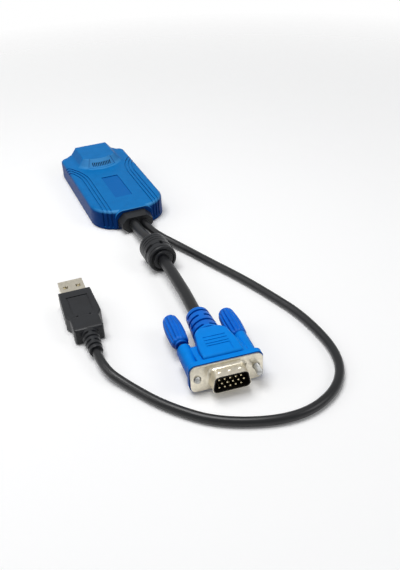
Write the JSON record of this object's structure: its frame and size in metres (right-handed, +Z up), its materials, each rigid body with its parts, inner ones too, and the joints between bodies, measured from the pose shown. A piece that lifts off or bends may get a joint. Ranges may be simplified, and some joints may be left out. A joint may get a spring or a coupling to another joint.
{
  "type": "video and usb console dongle",
  "caption": "Small moulded box with a network socket at one end and two short leads at the other, one to a video plug with thumbscrews, one to a USB plug.",
  "frame": {"origin": "bottom centre of the box's own bounding box, leads left out", "axes": "+X along the box towards its leads, +Y to the right of a reader who faces the lead end, +Z up from the table"},
  "size_m": [0.2681, 0.1035, 0.0173],
  "materials": {
    "blue_shell": "fine moulded texture",
    "blue_hood": "satin moulded plastic",
    "black_cable": "satin cable jacket",
    "black_moulding": "satin overmould",
    "connector_metal": "nickel plated",
    "contact_gold": "gold flash",
    "black_insulator": "moulded",
    "board_green": "solder mask",
    "chip_black": "moulded package",
    "header_white": "nylon",
    "can_metal": "plain",
    "screw_steel": "zinc plated",
    "ferrite_grey": "sintered",
    "wire_jacket": "thin jacket"
  },
  "bodies": {
    "dongle": {"cable_grommet": "black_moulding", "capacitors": "can_metal", "circuit_board": "board_green", "crystal_can": "can_metal", "ferrite_core": "ferrite_grey", "ferrite_sleeve": "black_moulding", "flash_chip": "chip_black", "housing_screws": "screw_steel", "lower_shell": "blue_shell", "memory_chip": "chip_black", "network_jack_body": "black_insulator", "network_jack_contacts": "contact_gold", "network_transformer": "chip_black", "processor_chip": "chip_black", "upper_shell": "blue_shell", "usb_cable": "black_cable", "usb_header": "header_white", "usb_leads": "wire_jacket", "usb_plug_contacts": "contact_gold", "usb_plug_grip": "black_moulding", "usb_plug_shell": "connector_metal", "usb_plug_tongue": "header_white", "video_cable": "black_cable", "video_converter_chip": "chip_black", "video_header": "header_white", "video_leads": "wire_jacket", "video_plug_backshell": "connector_metal", "video_plug_hood": "blue_hood", "video_plug_insulator": "black_insulator", "video_plug_pins": "contact_gold", "video_plug_shell": "connector_metal", "voltage_regulator": "chip_black"},
    "thumbscrew_left": {"thumbscrew_left_knob": "blue_hood", "thumbscrew_left_screw": "screw_steel"},
    "thumbscrew_right": {"thumbscrew_right_knob": "blue_hood", "thumbscrew_right_screw": "screw_steel"}
  },
  "joints": [
    {"name": "left_thumbscrew_turn", "type": "hinge", "parent": "dongle", "child": "thumbscrew_left", "pos_m": [0.16147, -0.01827, 0.0076], "axis": [0.9957, -0.0924, 0], "continuous": true},
    {"name": "right_thumbscrew_turn", "type": "hinge", "parent": "dongle", "child": "thumbscrew_right", "pos_m": [0.16378, 0.00662, 0.0076], "axis": [0.9957, -0.0924, 0], "continuous": true}
  ]
}
